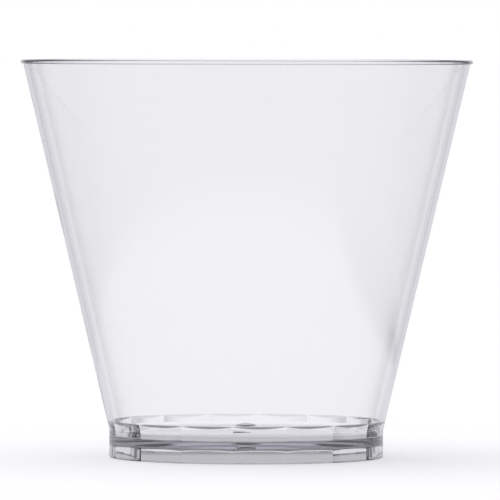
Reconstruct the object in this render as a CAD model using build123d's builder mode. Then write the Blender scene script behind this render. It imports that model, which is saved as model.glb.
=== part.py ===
"""A clear, injection-moulded plastic cup, made as one solid.

Millimetres. The cup stands on z = 0, its axis is Z, and the origin is the centre of the foot.
"""

from build123d import *
from math import cos, pi, radians, tan
import os

# Overall size
height = 78.3
lip_diameter = 89.0
foot_diameter = 54.0

# Wall: upright along the foot band, then straight and tapered up to the lip
wall = 0.95
foot_band_height = 5.55
lip_height = 0.75
lip_overhang = 0.32

# Well above the floor: a polygon whose corners touch the round wall, under a low shoulder
facet_count = 16
well_top = 7.3
well_draft_deg = 8.0
shoulder_deg = 57.0
shoulder_depth = 0.6

# Floor: a plate that rises to the middle, with a rounded mound where the plastic was let in
floor_edge_top = 4.2
floor_thickness = 1.3
floor_rise = 2.2
floor_rim_width = 0.2
gate_mound_diameter = 4.2
gate_mound_rise = 0.5
gate_pit_diameter = 2.4

# Foot: a ring under the floor, faceted inside like the well
foot_ring_width = 1.0
hollow_draft_deg = 0.5

# Rounded edges and corners
lip_round = 0.3
band_round = 3.0
foot_round = 0.5
well_corner_round = 0.5
hollow_corner_round = 0.7

# Radii, levels and slopes that follow from the sizes above
lip_radius = lip_diameter / 2
mouth_radius = lip_radius - lip_overhang
foot_radius = foot_diameter / 2
wall_slope = (mouth_radius - foot_radius) / (height - foot_band_height)
well_radius = foot_radius + wall_slope * (well_top - foot_band_height) - wall
flat_ratio = cos(pi / facet_count)
floor_edge_under = floor_edge_top - floor_thickness
hollow_radius = foot_radius - foot_ring_width
half_facet_deg = 180 / facet_count
gate_top = floor_edge_top + floor_rise + gate_mound_rise
gate_ball_radius = ((gate_mound_diameter / 2) ** 2 + gate_mound_rise ** 2) / (2 * gate_mound_rise)
over = 1.0


def facet_sections(low, low_radius, high, slope_deg):
    """Two polygons one above the other, whose corners lean out by slope_deg on the way up."""
    lean = (high - low) * tan(radians(slope_deg)) / flat_ratio
    sections = []
    for level, radius in ((low, low_radius), (high, low_radius + lean)):
        with BuildSketch(Plane.XY.offset(level)) as section:
            RegularPolygon(radius, facet_count, rotation=half_facet_deg)
        sections.append(section.sketch)
    return sections


def crown_section(edge_radius, edge_level, base_level):
    """Half of a low dome that rises by floor_rise to the axis, on a plinth down to base_level."""
    peak = (0, edge_level + floor_rise)
    rim = (edge_radius, edge_level)
    with BuildSketch(Plane.XZ) as section:
        with BuildLine():
            TangentArc(peak, rim, tangent=(1, 0))
            Polyline(rim, (edge_radius, base_level), (0, base_level), peak)
        make_face()
    return section.sketch


# Everything inside the wall and above the floor
well_floor_radius = well_radius - (well_top - floor_edge_top) * tan(radians(well_draft_deg)) / flat_ratio
shoulder_foot = (well_radius - shoulder_depth * tan(radians(shoulder_deg)), well_top - shoulder_depth)
bowl_top = (well_radius + wall_slope * (height + over - well_top), height + over)
with BuildPart() as inside:
    loft(facet_sections(floor_edge_top, well_floor_radius, well_top + over, well_draft_deg), ruled=True)
    fillet(inside.edges().group_by(Axis.Z)[0], well_corner_round)
    with BuildSketch(Plane.XZ):
        with BuildLine():
            Polyline((0, shoulder_foot[1]), shoulder_foot, (well_radius, well_top), bowl_top, (0, bowl_top[1]),
                     close=True)
        make_face()
    revolve(axis=Axis.Z)
    crown_radius = well_floor_radius * flat_ratio - well_corner_round - floor_rim_width
    revolve(crown_section(crown_radius, floor_edge_top, floor_edge_top - over), axis=Axis.Z, mode=Mode.SUBTRACT)
    with Locations((0, 0, gate_top - gate_ball_radius)):
        Sphere(gate_ball_radius, mode=Mode.SUBTRACT)

# The shallow space under the floor
with BuildPart() as hollow:
    loft(facet_sections(0, hollow_radius, floor_edge_under, -hollow_draft_deg), ruled=True)
    fillet(hollow.edges().group_by(Axis.Z)[-1], hollow_corner_round)
    under_radius = hollow_radius * flat_ratio - hollow_corner_round - floor_rim_width
    revolve(crown_section(under_radius, floor_edge_under, over), axis=Axis.Z)
    with BuildSketch(Plane.XY.offset(gate_top - floor_thickness)):
        Circle(gate_pit_diameter / 2)
    extrude(amount=-floor_rise)

with BuildPart() as cup:
    with BuildSketch(Plane.XZ):
        with BuildLine():
            lip_foot = height - lip_height
            Polyline((0, 0), (foot_radius, 0), (foot_radius, foot_band_height),
                     (mouth_radius - wall_slope * lip_height, lip_foot), (lip_radius, lip_foot),
                     (lip_radius, height), (0, height), (0, 0))
        make_face()
    revolve(axis=Axis.Z)
    rings = cup.edges().filter_by(GeomType.CIRCLE)
    fillet(rings.group_by(Axis.Z)[1], band_round)
    fillet(cup.edges().filter_by(GeomType.CIRCLE).group_by(Axis.Z)[0], foot_round)
    fillet(cup.edges().filter_by(GeomType.CIRCLE).sort_by(SortBy.RADIUS)[-2:], lip_round)
    add(inside.part, mode=Mode.SUBTRACT)
    add(hollow.part, mode=Mode.SUBTRACT)
    fillet(cup.edges().filter_by(GeomType.CIRCLE).group_by(Axis.Z)[-1].sort_by(SortBy.RADIUS)[0], lip_round)

os.makedirs("parts", exist_ok=True)
cup.part.label = "cup"
export_step(cup.part, "parts/cup.step")
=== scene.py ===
"""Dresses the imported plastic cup: a fine clear skin, a pale floor, soft light and the camera."""

import math

import bpy
from mathutils import Matrix, Vector


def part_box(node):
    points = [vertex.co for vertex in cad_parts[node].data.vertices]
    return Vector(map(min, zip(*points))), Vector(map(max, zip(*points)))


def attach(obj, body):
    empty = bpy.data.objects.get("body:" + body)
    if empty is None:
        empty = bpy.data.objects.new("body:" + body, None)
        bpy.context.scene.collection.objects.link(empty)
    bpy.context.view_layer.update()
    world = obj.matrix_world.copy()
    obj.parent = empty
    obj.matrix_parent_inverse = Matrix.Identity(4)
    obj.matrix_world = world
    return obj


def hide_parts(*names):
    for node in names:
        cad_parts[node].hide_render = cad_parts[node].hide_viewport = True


MM = 0.001

# The part's sizes in millimetres; its height and lip radius are read from the frame
FACETS = 16
WALL = 0.95
FOOT_RADIUS = 27.0
FOOT_BAND_TOP = 5.55
LIP_HEIGHT = 0.75
LIP_OVERHANG = 0.32
WELL_TOP = 7.3
WELL_DRAFT = math.radians(8)
SHOULDER_LEAN = math.radians(57)
FLOOR_TOP = 4.2
FLOOR_THICKNESS = 1.3
FLOOR_RISE = 2.2
FLOOR_RIM = 0.2
BOSS_RADIUS = 2.1
BOSS_RISE = 0.5
PIT_RADIUS = 1.2
FOOT_RING_WIDTH = 1.0
HOLLOW_DRAFT = math.radians(0.5)

# Rounded edges and corners, in millimetres
LIP_ROUND = 0.3
BAND_ROUND = 3.0
FOOT_ROUND = 0.5
FOOT_INNER_ROUND = 0.15
SHOULDER_ROUND = 0.4
WELL_ROUND = 0.5
HOLLOW_ROUND = 0.7
FACET_ROUND = 0.3
BOSS_ROOT_ROUND = 0.3
DOME_EDGE_ROUND = 3.0
CREASE_ROUND = 0.1

# Fineness of the skin
ARC_STEPS = 9
DOME_STEPS = 14
BOSS_STEPS = 6
FACET_STEPS = 18
WALL_STEPS = 6

# Directions next to the line where two facets meet, in degrees from it
NEAR_FACET_EDGE = (0.0, 0.03, 0.06, 0.09, 0.12, 0.15, 0.3)

# Share of a side that the round at one of its ends may take
ROUND_REACH = 0.48

# Least height of the shoulder, in millimetres
SHOULDER_MIN = 0.01

# The innermost rings of the boss and of the pit, as shares of their radii
BOSS_TIP_SHARE = 0.1
PIT_TIP_SHARE = 0.5

# The photograph's view in millimetres: the camera stands far off, a little above the rim
CAMERA_DISTANCE = 1570.0
CAMERA_HEIGHT = 84.0
CAMERA_AZIMUTH = math.radians(-5.75)
AIM_HEIGHT = 40.86
AIM_RIGHT = 0.68
VIEW_WIDTH = 98.45
VIEW_ROLL = math.radians(0.12)
SENSOR_WIDTH = 36.0
CLIP_END = 20000.0

# The plastic; its tint shows along thick places, and shadows get a plain pale colour
PLASTIC_IOR = 1.59
PLASTIC_COLOUR = (0.993, 0.993, 0.995, 1)
PLASTIC_TINT = (0.5, 0.48, 0.545, 1)
PLASTIC_DENSITY = 30.0
SHADOW_COLOUR = (0.8, 0.79, 0.82, 1)

# Its moulded finish: waves of the flow, patchy haze and upright rub marks.
# Repeats are per metre along x, y and z, and the depth of the waves is in metres.
FLOW_REPEATS = (110.0, 110.0, 35.0)
FLOW_DEPTH = 0.00001
HAZE_REPEATS = (45.0, 45.0, 30.0)
HAZE_DETAIL = 3.0
HAZE_PATCHES = (0.45, 0.75)
HAZE_ROUGHNESS = 0.03
MARK_REPEATS = (1500.0, 1500.0, 60.0)
MARK_PATCHES = (0.72, 0.76)
MARK_ROUGHNESS = 0.12

# Half the width of the floor, in metres
FLOOR_HALF = 60.0

# The floor and the light on the object, where 1 is white
WHITE = (1, 1, 1, 1)
GREY_TINT = (1.0, 0.985, 1.045)
FLOOR_COLOUR = (0.85, 0.85, 0.86, 1)
FLOOR_GLOW = 0.35
PLAIN_LEVEL = 0.3
LAMP_LEVEL = 1.5
LAMP_SPREAD = math.radians(80)
LAMP_TILT = (math.radians(-12), math.radians(-10), 0)

# The table near the cup as flat greys of painted shade and painted reflection, darker next to the cup, as
# (metres from the axis, level), seen through the cup and mirrored in it
TABLE_SPAN = 0.2
TABLE_PAINTED_SHADE_THROUGH = ((0.027, 0.5), (0.03, 0.85), (0.06, 0.85), (0.085, 1.0))
TABLE_PAINTED_REFLECTION = ((0.022, 0.1), (0.03, 0.6), (0.055, 0.68), (0.08, 0.75), (0.15, 0.75))

# Where the white floor and the mirrored room take over from it, in metres from the axis
FLOOR_THROUGH_FROM = 0.1
ROOM_MIRRORED_FROM = (0.12, 0.16)

# Painted shadow under the cup, darker towards the back, and a painted dark reflection far to the right where
# the table is mirrored
UNDER_CUP_SHADOW_EDGE = (0.025, 0.03)
UNDER_CUP_SHADOW_MIDDLE = (0.008, 0.022)
UNDER_CUP_SHADOW_FRONT = 0.5
UNDER_CUP_SHADOW_BACK = 0.28
RIGHT_PAINTED_DARK_END = (0.09, 0.115)
RIGHT_PAINTED_DARK_LEVEL = 0.2

# The room, as (height, level) of a direction that goes from -1 straight down to 1 straight up
ROOM_THROUGH = (
    (-0.5, 0.25), (-0.2, 0.9), (-0.06, 1.0), (0.012, 1.0), (0.03, 0.65), (0.06, 0.82), (0.1, 0.85),
    (0.15, 0.48), (0.4, 0.7),
)
ROOM_MIRRORED = (
    (-0.6, 0.1), (-0.45, 0.34), (-0.28, 0.36), (-0.2, 0.67), (-0.13, 0.63), (-0.05, 0.32), (0.01, 0.12),
    (0.1, 0.12), (0.16, 0.56), (0.22, 0.56), (0.3, 0.43), (0.5, 0.42), (0.7, 0.22),
)

# The bright backdrop that the cup mirrors from straight behind it, and its middle and edge to the side
BACKDROP_MIRRORED = (
    (-0.6, 0.1), (-0.45, 0.42), (-0.28, 0.42), (-0.2, 0.68), (-0.02, 0.72), (0.02, 0.92), (0.1, 0.95),
    (0.2, 0.75), (0.45, 0.7), (0.7, 0.25),
)
BACKDROP_MIDDLE = 0.1
BACKDROP_EDGE = (0.35, 0.45)

# How often light may bend or be mirrored in the cup
BOUNCES = 32
GLOSSY_BOUNCES = 16


def from_facet_middle(angle):
    """Angle between a direction round the cup and the middle of its facet."""
    sector = 2 * math.pi / FACETS
    return abs((angle + sector / 2) % sector - sector / 2)


def facet_radius(angle, flat):
    """Distance from the axis to a ring of facets that lie flat from it and meet in small rounds."""
    off = from_facet_middle(angle)
    inner = flat - FACET_ROUND
    side = inner * math.tan(math.pi / FACETS)
    if math.tan(off) * flat <= side:
        return flat / math.cos(off)
    along = inner * math.cos(off) + side * math.sin(off)
    return along + math.sqrt(along ** 2 - inner ** 2 - side ** 2 + FACET_ROUND ** 2)


def round_angles():
    """Directions round the cup, packed closely where two facets meet."""
    half = math.pi / FACETS
    near_edge = [math.radians(a) for a in NEAR_FACET_EDGE]
    flat = half - near_edge[-1]
    middle = [flat * (2 * k / FACET_STEPS - 1) for k in range(1, FACET_STEPS)]
    one = [a - half for a in near_edge] + middle + [half - a for a in near_edge[:0:-1]]
    return [2 * half * k + a for k in range(FACETS) for a in one]


def rounded_corner(before, corner, after, size):
    """Points and outward directions of the round at a corner, smaller than size on short sides."""
    here = Vector(corner)
    back, on = Vector(before) - here, Vector(after) - here
    half = back.angle(on) / 2
    setback = min(size / math.tan(half), ROUND_REACH * back.length, ROUND_REACH * on.length)
    back.normalize()
    on.normalize()
    centre = here + (back + on).normalized() * (setback / math.cos(half))
    spoke = here + back * setback - centre
    turn = spoke.angle_signed(here + on * setback - centre)
    side = 1 if on.cross(-back) > 0 else -1
    points = []
    for k in range(ARC_STEPS + 1):
        turned = Matrix.Rotation(-turn * k / ARC_STEPS, 2) @ spoke
        points.append((*(centre + turned), *(turned.normalized() * side)))
    return points


def rounded_line(corners):
    """Radius, height and outward direction along a line of (radius, height, round) corners."""
    points = []
    for k, (radius, height, size) in enumerate(corners):
        before = corners[max(k - 1, 0)][:2]
        after = corners[min(k + 1, len(corners) - 1)][:2]
        if size:
            points += rounded_corner(before, (radius, height), after, size)
        else:
            along = Vector(after) - Vector(before)
            points.append((radius, height, *Vector((-along.y, along.x)).normalized()))
    return points


def dome(edge_radius, edge_height, rise, inner_radius, steps):
    """Corners down a low dome, from inner_radius out to its edge."""
    ball = (edge_radius ** 2 + rise ** 2) / (2 * rise)
    low = edge_height + rise - ball
    radii = [inner_radius + (edge_radius - inner_radius) * k / steps for k in range(steps + 1)]
    return [(r, low + math.sqrt(ball ** 2 - r ** 2), 0) for r in radii]


def section(angle, top, lip_radius):
    """Points and outward directions of the whole skin at one angle: floor, bowl, lip, outside, underside."""
    mouth = lip_radius - LIP_OVERHANG
    slope = (mouth - FOOT_RADIUS) / (top - FOOT_BAND_TOP)
    well = FOOT_RADIUS + slope * (WELL_TOP - FOOT_BAND_TOP) - WALL
    well_draft, hollow_draft, lean = (math.tan(a) for a in (WELL_DRAFT, HOLLOW_DRAFT, SHOULDER_LEAN))
    flat_ratio = math.cos(math.pi / FACETS)
    well_flat = well * flat_ratio - (WELL_TOP - FLOOR_TOP) * well_draft
    hollow_flat = (FOOT_RADIUS - FOOT_RING_WIDTH) * flat_ratio
    under = FLOOR_TOP - FLOOR_THICKNESS
    peak = FLOOR_TOP + FLOOR_RISE + BOSS_RISE

    # Where this direction's facet runs into the shoulder
    corner = facet_radius(angle, well_flat)
    widening = well_draft / math.cos(from_facet_middle(angle))
    meet = (corner - FLOOR_TOP * widening - well + WELL_TOP * lean) / (lean - widening)
    meet = min(meet, WELL_TOP - SHOULDER_MIN)

    # The domes of the floor, with a round at each end, and the boss on the upper one
    top_dome = dome(well_flat - WELL_ROUND - FLOOR_RIM, FLOOR_TOP, FLOOR_RISE, BOSS_RADIUS, DOME_STEPS)
    under_dome = dome(hollow_flat - HOLLOW_ROUND - FLOOR_RIM, under, FLOOR_RISE, PIT_RADIUS, DOME_STEPS)
    boss_foot = top_dome[0][1]
    boss = dome(BOSS_RADIUS, boss_foot, peak - boss_foot, BOSS_RADIUS * BOSS_TIP_SHARE, BOSS_STEPS)
    for line, inner_round in ((top_dome, BOSS_ROOT_ROUND), (under_dome, CREASE_ROUND)):
        line[0] = (*line[0][:2], inner_round)
        line[-1] = (*line[-1][:2], DOME_EDGE_ROUND)

    wall_heights = [WELL_TOP + (top - WELL_TOP) * k / WALL_STEPS for k in range(1, WALL_STEPS)]
    inside = [
        *boss[:-1],
        *top_dome,
        (corner, FLOOR_TOP, WELL_ROUND),
        (well - (WELL_TOP - meet) * lean, meet, CREASE_ROUND),
        (well, WELL_TOP, SHOULDER_ROUND),
        *[(well + (z - WELL_TOP) * slope, z, 0) for z in wall_heights],
    ]
    lip = [
        (well + (top - WELL_TOP) * slope, top, LIP_ROUND),
        (lip_radius, top, LIP_ROUND),
        (lip_radius, top - LIP_HEIGHT, LIP_ROUND),
        (mouth - LIP_HEIGHT * slope, top - LIP_HEIGHT, CREASE_ROUND),
    ]
    outside = [
        *[(FOOT_RADIUS + (z - FOOT_BAND_TOP) * slope, z, 0) for z in reversed(wall_heights)],
        (FOOT_RADIUS, FOOT_BAND_TOP, BAND_ROUND),
        (FOOT_RADIUS, 0, FOOT_ROUND),
    ]
    under_floor = [
        (facet_radius(angle, hollow_flat), 0, FOOT_INNER_ROUND),
        (facet_radius(angle, hollow_flat - under * hollow_draft), under, HOLLOW_ROUND),
        *reversed(under_dome),
        (PIT_RADIUS, peak - FLOOR_THICKNESS, CREASE_ROUND),
        (PIT_RADIUS * PIT_TIP_SHARE, peak - FLOOR_THICKNESS, 0),
    ]
    return rounded_line(inside + lip + outside + under_floor)


def change_rate(before, here, after, gap_before, gap_after):
    """How fast a value changes at the middle one of three unevenly spaced places."""
    rise = (after - here) / gap_after * gap_before + (here - before) / gap_before * gap_after
    return rise / (gap_before + gap_after)


def skin_normals(angles, sections):
    """The exact outward direction at each point of the skin, so that light bends as in smooth plastic."""
    normals = []
    for k, (angle, line) in enumerate(zip(angles, sections)):
        last, following = sections[k - 1], sections[(k + 1) % len(sections)]
        gap_last = (angle - angles[k - 1]) % (2 * math.pi)
        gap_next = (angles[(k + 1) % len(angles)] - angle) % (2 * math.pi)
        for before, (r, z, out_r, out_z), after in zip(last, line, following):
            r_rate = change_rate(before[0], r, after[0], gap_last, gap_next)
            z_rate = change_rate(before[1], z, after[1], gap_last, gap_next)
            round_part = -(r_rate * out_r + z_rate * out_z) / r
            normal = Vector((out_r, round_part, out_z)).normalized()
            normals.append(Matrix.Rotation(angle, 3, "Z") @ normal)
    return normals


def make_skin():
    """One closed, fine surface of the whole cup, in place of the CAD solid's coarser one."""
    low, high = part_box("cup")
    top, lip_radius = high[2] / MM, high[0] / MM
    angles = round_angles()
    sections = [section(a, top, lip_radius) for a in angles]
    count = len(sections[0])
    points = []
    for a, line in zip(angles, sections):
        points += [(p[0] * math.cos(a) * MM, p[0] * math.sin(a) * MM, p[1] * MM) for p in line]
    first, last = len(points), len(points) + 1
    points += [(0, 0, sections[0][0][1] * MM), (0, 0, sections[0][-1][1] * MM)]
    faces = []
    for k in range(len(angles)):
        here, there = k * count, (k + 1) % len(angles) * count
        faces.append((first, here, there))
        faces += [(here + j, here + j + 1, there + j + 1, there + j) for j in range(count - 1)]
        faces.append((last, there + count - 1, here + count - 1))
    mesh = bpy.data.meshes.new("cup_skin")
    mesh.from_pydata(points, [], faces)
    mesh.shade_smooth()
    ends = [(0, 0, 1), (0, 0, -1)]
    mesh.normals_split_custom_set_from_vertices(skin_normals(angles, sections) + ends)
    skin = bpy.data.objects.new("cup_skin", mesh)
    bpy.context.collection.objects.link(skin)
    return skin


def grey(level):
    """A pale lavender grey of a given brightness, as the photograph's room gives."""
    return (*(level * share for share in GREY_TINT), 1)


class Graph:
    """Short ways to add nodes to a material or the world."""

    def __init__(self, owner):
        owner.use_nodes = True
        self.nodes, self.links = owner.node_tree.nodes, owner.node_tree.links

    def add(self, kind, values=(), **settings):
        """Add a node; values go to its sockets by name or number, as numbers, colours or links."""
        node = self.nodes.new(kind)
        for name, value in settings.items():
            setattr(node, name, value)
        for key, value in dict(values).items():
            if isinstance(value, bpy.types.NodeSocket):
                self.links.new(value, node.inputs[key])
            else:
                node.inputs[key].default_value = value
        return node

    def figure(self, operation, *values):
        """The result of one sum on numbers."""
        return self.add("ShaderNodeMath", enumerate(values), operation=operation).outputs[0]

    def over(self, value, limit=0.5):
        """1 where value is over limit, else 0."""
        return self.figure("GREATER_THAN", value, limit)

    def below(self, value, limit=0.5):
        """1 where value is below limit, else 0."""
        return self.figure("LESS_THAN", value, limit)

    def ramp(self, value, low, high, at_low=0.0, at_high=1.0):
        """A smooth change from at_low to at_high as value goes from low to high."""
        sockets = {0: value, 1: low, 2: high, 3: at_low, 4: at_high}
        return self.add("ShaderNodeMapRange", sockets, interpolation_type="SMOOTHSTEP").outputs[0]

    def steps(self, value, levels, low=-1.0, high=1.0):
        """Grey that follows (place, level) pairs, as value goes from low to high."""
        share = self.add("ShaderNodeMapRange", {0: value, 1: low, 2: high}).outputs[0]
        node = self.add("ShaderNodeValToRGB", {0: share})
        stops = node.color_ramp.elements
        for k, (place, level) in enumerate(levels):
            stop = stops[k] if k < len(stops) else stops.new(1.0)
            stop.position = (place - low) / (high - low)
            stop.color = grey(level)
        return node.outputs[0]

    def noise(self, repeats, detail=1.0):
        """Cloudy noise with its own number of repeats per metre along each axis."""
        place = self.add("ShaderNodeTexCoord").outputs["Object"]
        place = self.add("ShaderNodeVectorMath", {0: place, 1: repeats}, operation="MULTIPLY").outputs[0]
        return self.add("ShaderNodeTexNoise", {"Vector": place, "Scale": 1.0, "Detail": detail}).outputs[0]

    def blend(self, share, first, second):
        """A colour between first and second."""
        return self.add("ShaderNodeMix", {0: share, 6: first, 7: second}, data_type="RGBA").outputs[2]

    def mix(self, share, first, second):
        """A surface between first and second."""
        return self.add("ShaderNodeMixShader", {0: share, 1: first, 2: second}).outputs[0]

    def flat(self, colour):
        """A surface that shows one colour in any light."""
        return self.add("ShaderNodeEmission", {"Color": colour}).outputs[0]


def clear_plastic():
    """Clear moulded plastic that is colourless in a thin wall and a lavender grey along a thick one."""
    material = bpy.data.materials.new("clear_plastic")
    graph = Graph(material)
    shader = graph.nodes["Principled BSDF"]
    shader.inputs["Base Color"].default_value = PLASTIC_COLOUR
    shader.inputs["Transmission Weight"].default_value = 1.0
    shader.inputs["IOR"].default_value = PLASTIC_IOR
    haze = graph.ramp(graph.noise(HAZE_REPEATS, HAZE_DETAIL), *HAZE_PATCHES, 0.0, HAZE_ROUGHNESS)
    marks = graph.ramp(graph.noise(MARK_REPEATS), *MARK_PATCHES, 0.0, MARK_ROUGHNESS)
    graph.links.new(graph.figure("MAXIMUM", haze, marks), shader.inputs["Roughness"])
    waves = graph.add("ShaderNodeBump", {"Height": graph.noise(FLOW_REPEATS), "Distance": FLOW_DEPTH})
    graph.links.new(waves.outputs[0], shader.inputs["Normal"])
    output = graph.nodes["Material Output"].inputs
    pale = graph.add("ShaderNodeBsdfTransparent", {"Color": SHADOW_COLOUR}).outputs[0]
    shadow = graph.add("ShaderNodeLightPath").outputs["Is Shadow Ray"]
    graph.links.new(graph.mix(shadow, shader.outputs[0], pale), output["Surface"])
    tint = graph.add("ShaderNodeVolumeAbsorption", {"Color": PLASTIC_TINT, "Density": PLASTIC_DENSITY})
    graph.links.new(tint.outputs[0], output["Volume"])
    return material


def pale_floor():
    """White with the cup's shadow where it is seen straight; near the cup, as the cup shows and mirrors it,
    flat greys of painted shade and painted reflection.
    """
    material = bpy.data.materials.new("pale_floor")
    graph = Graph(material)
    path = graph.add("ShaderNodeLightPath").outputs
    matt = graph.nodes["Principled BSDF"].inputs
    matt["Base Color"].default_value = FLOOR_COLOUR
    matt["Roughness"].default_value = 1.0
    matt["Specular IOR Level"].default_value = 0.0
    matt["Emission Color"].default_value = WHITE
    direct = graph.below(path["Diffuse Depth"])
    graph.links.new(graph.figure("MULTIPLY", direct, FLOOR_GLOW), matt["Emission Strength"])
    plain = graph.nodes["Principled BSDF"].outputs[0]
    place = graph.add("ShaderNodeNewGeometry").outputs["Position"]
    away = graph.add("ShaderNodeVectorMath", {0: place}, operation="LENGTH").outputs["Value"]
    side, back, _ = graph.add("ShaderNodeSeparateXYZ", {0: place}).outputs

    # Painted shadow under the cup: flat grey, darker towards the back, seen through the cup
    under = graph.blend(graph.ramp(back, *UNDER_CUP_SHADOW_MIDDLE), grey(UNDER_CUP_SHADOW_FRONT), grey(UNDER_CUP_SHADOW_BACK))
    # Painted shade round the cup: flat greys that lighten away from it, seen through the cup
    painted_table_light = graph.steps(away, TABLE_PAINTED_SHADE_THROUGH, 0.0, TABLE_SPAN)
    painted_table_light = graph.blend(graph.ramp(away, *UNDER_CUP_SHADOW_EDGE), under, painted_table_light)
    through = graph.mix(graph.over(away, FLOOR_THROUGH_FROM), graph.flat(painted_table_light), plain)

    # Painted reflection of the table: flat greys, darkest next to the cup, mirrored in the cup
    painted_table_light = graph.steps(away, TABLE_PAINTED_REFLECTION, 0.0, TABLE_SPAN)
    # Painted dark reflection far to the right
    painted_table_light = graph.blend(graph.ramp(side, *RIGHT_PAINTED_DARK_END), painted_table_light, grey(RIGHT_PAINTED_DARK_LEVEL))
    clear = graph.add("ShaderNodeBsdfTransparent").outputs[0]
    mirrored = graph.mix(graph.ramp(away, *ROOM_MIRRORED_FROM), graph.flat(painted_table_light), clear)

    in_cup = graph.mix(graph.over(path["Glossy Depth"]), through, mirrored)
    bends = graph.figure("ADD", path["Glossy Depth"], path["Transmission Depth"])
    surface = graph.mix(graph.over(bends), plain, in_cup)
    graph.links.new(surface, graph.nodes["Material Output"].inputs["Surface"])
    return material


def make_floor():
    """A wide level floor under the cup."""
    corners = [(-FLOOR_HALF, -FLOOR_HALF, 0), (FLOOR_HALF, -FLOOR_HALF, 0)]
    corners += [(FLOOR_HALF, FLOOR_HALF, 0), (-FLOOR_HALF, FLOOR_HALF, 0)]
    mesh = bpy.data.meshes.new("floor")
    mesh.from_pydata(corners, [], [(0, 1, 2, 3)])
    mesh.materials.append(pale_floor())
    floor = bpy.data.objects.new("floor", mesh)
    bpy.context.collection.objects.link(floor)


def make_world():
    """White where it is seen straight, pale through the cup, and a dimmer room where the cup mirrors it."""
    world = bpy.data.worlds.new("studio")
    bpy.context.scene.world = world
    graph = Graph(world)
    path = graph.add("ShaderNodeLightPath").outputs
    way = graph.add("ShaderNodeTexCoord").outputs["Generated"]
    x, y, z = graph.add("ShaderNodeSeparateXYZ", {0: way}).outputs

    # How far a direction is from the backdrop; one towards the front never reaches it
    aside = graph.figure("ABSOLUTE", graph.figure("SUBTRACT", x, BACKDROP_MIDDLE))
    aside = graph.figure("ADD", aside, graph.below(y, 0.0))
    backdrop = graph.steps(z, BACKDROP_MIRRORED)
    room = graph.blend(graph.ramp(aside, *BACKDROP_EDGE), backdrop, graph.steps(z, ROOM_MIRRORED))
    seen = graph.blend(graph.over(path["Glossy Depth"]), graph.steps(z, ROOM_THROUGH), room)
    seen = graph.blend(path["Is Camera Ray"], seen, WHITE)
    colour = graph.blend(graph.over(path["Diffuse Depth"]), seen, grey(PLAIN_LEVEL))
    graph.links.new(colour, graph.nodes["Background"].inputs["Color"])


def make_lamp():
    """A wide soft light from above, the same over the whole floor."""
    data = bpy.data.lights.new("soft_top", "SUN")
    data.angle = LAMP_SPREAD
    data.energy = LAMP_LEVEL
    lamp = bpy.data.objects.new("soft_top", data)
    bpy.context.collection.objects.link(lamp)
    lamp.rotation_euler = LAMP_TILT
    lamp.visible_glossy = False
    lamp.visible_transmission = False


def make_camera():
    """The photograph's camera."""
    data = bpy.data.cameras.new("camera")
    camera = bpy.data.objects.new("camera", data)
    bpy.context.collection.objects.link(camera)
    side = Vector((math.cos(CAMERA_AZIMUTH), math.sin(CAMERA_AZIMUTH), 0))
    away = Vector((math.sin(CAMERA_AZIMUTH), -math.cos(CAMERA_AZIMUTH), 0))
    aim = (side * AIM_RIGHT + Vector((0, 0, AIM_HEIGHT))) * MM
    camera.location = (side * AIM_RIGHT + away * CAMERA_DISTANCE + Vector((0, 0, CAMERA_HEIGHT))) * MM
    look = (aim - camera.location).to_track_quat("-Z", "Y").to_matrix().to_4x4()
    camera.matrix_world = Matrix.Translation(camera.location) @ look @ Matrix.Rotation(VIEW_ROLL, 4, "Z")
    data.sensor_width = SENSOR_WIDTH
    data.lens = SENSOR_WIDTH * CAMERA_DISTANCE / VIEW_WIDTH
    data.clip_end = CLIP_END * MM
    bpy.context.scene.camera = camera


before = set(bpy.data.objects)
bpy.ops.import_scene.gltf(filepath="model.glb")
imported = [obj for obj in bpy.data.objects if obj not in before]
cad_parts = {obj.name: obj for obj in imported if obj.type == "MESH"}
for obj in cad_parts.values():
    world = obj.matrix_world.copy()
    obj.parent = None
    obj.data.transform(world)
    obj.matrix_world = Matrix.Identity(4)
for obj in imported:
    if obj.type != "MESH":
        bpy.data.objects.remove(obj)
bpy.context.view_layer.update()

skin = make_skin()
skin.data.materials.append(clear_plastic())
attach(skin, "root")
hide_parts("cup")

make_floor()
make_world()
make_lamp()
make_camera()

scene = bpy.context.scene
scene.view_settings.view_transform = "Standard"
scene.cycles.max_bounces = BOUNCES
scene.cycles.transmission_bounces = BOUNCES
scene.cycles.transparent_max_bounces = BOUNCES
scene.cycles.glossy_bounces = GLOSSY_BOUNCES
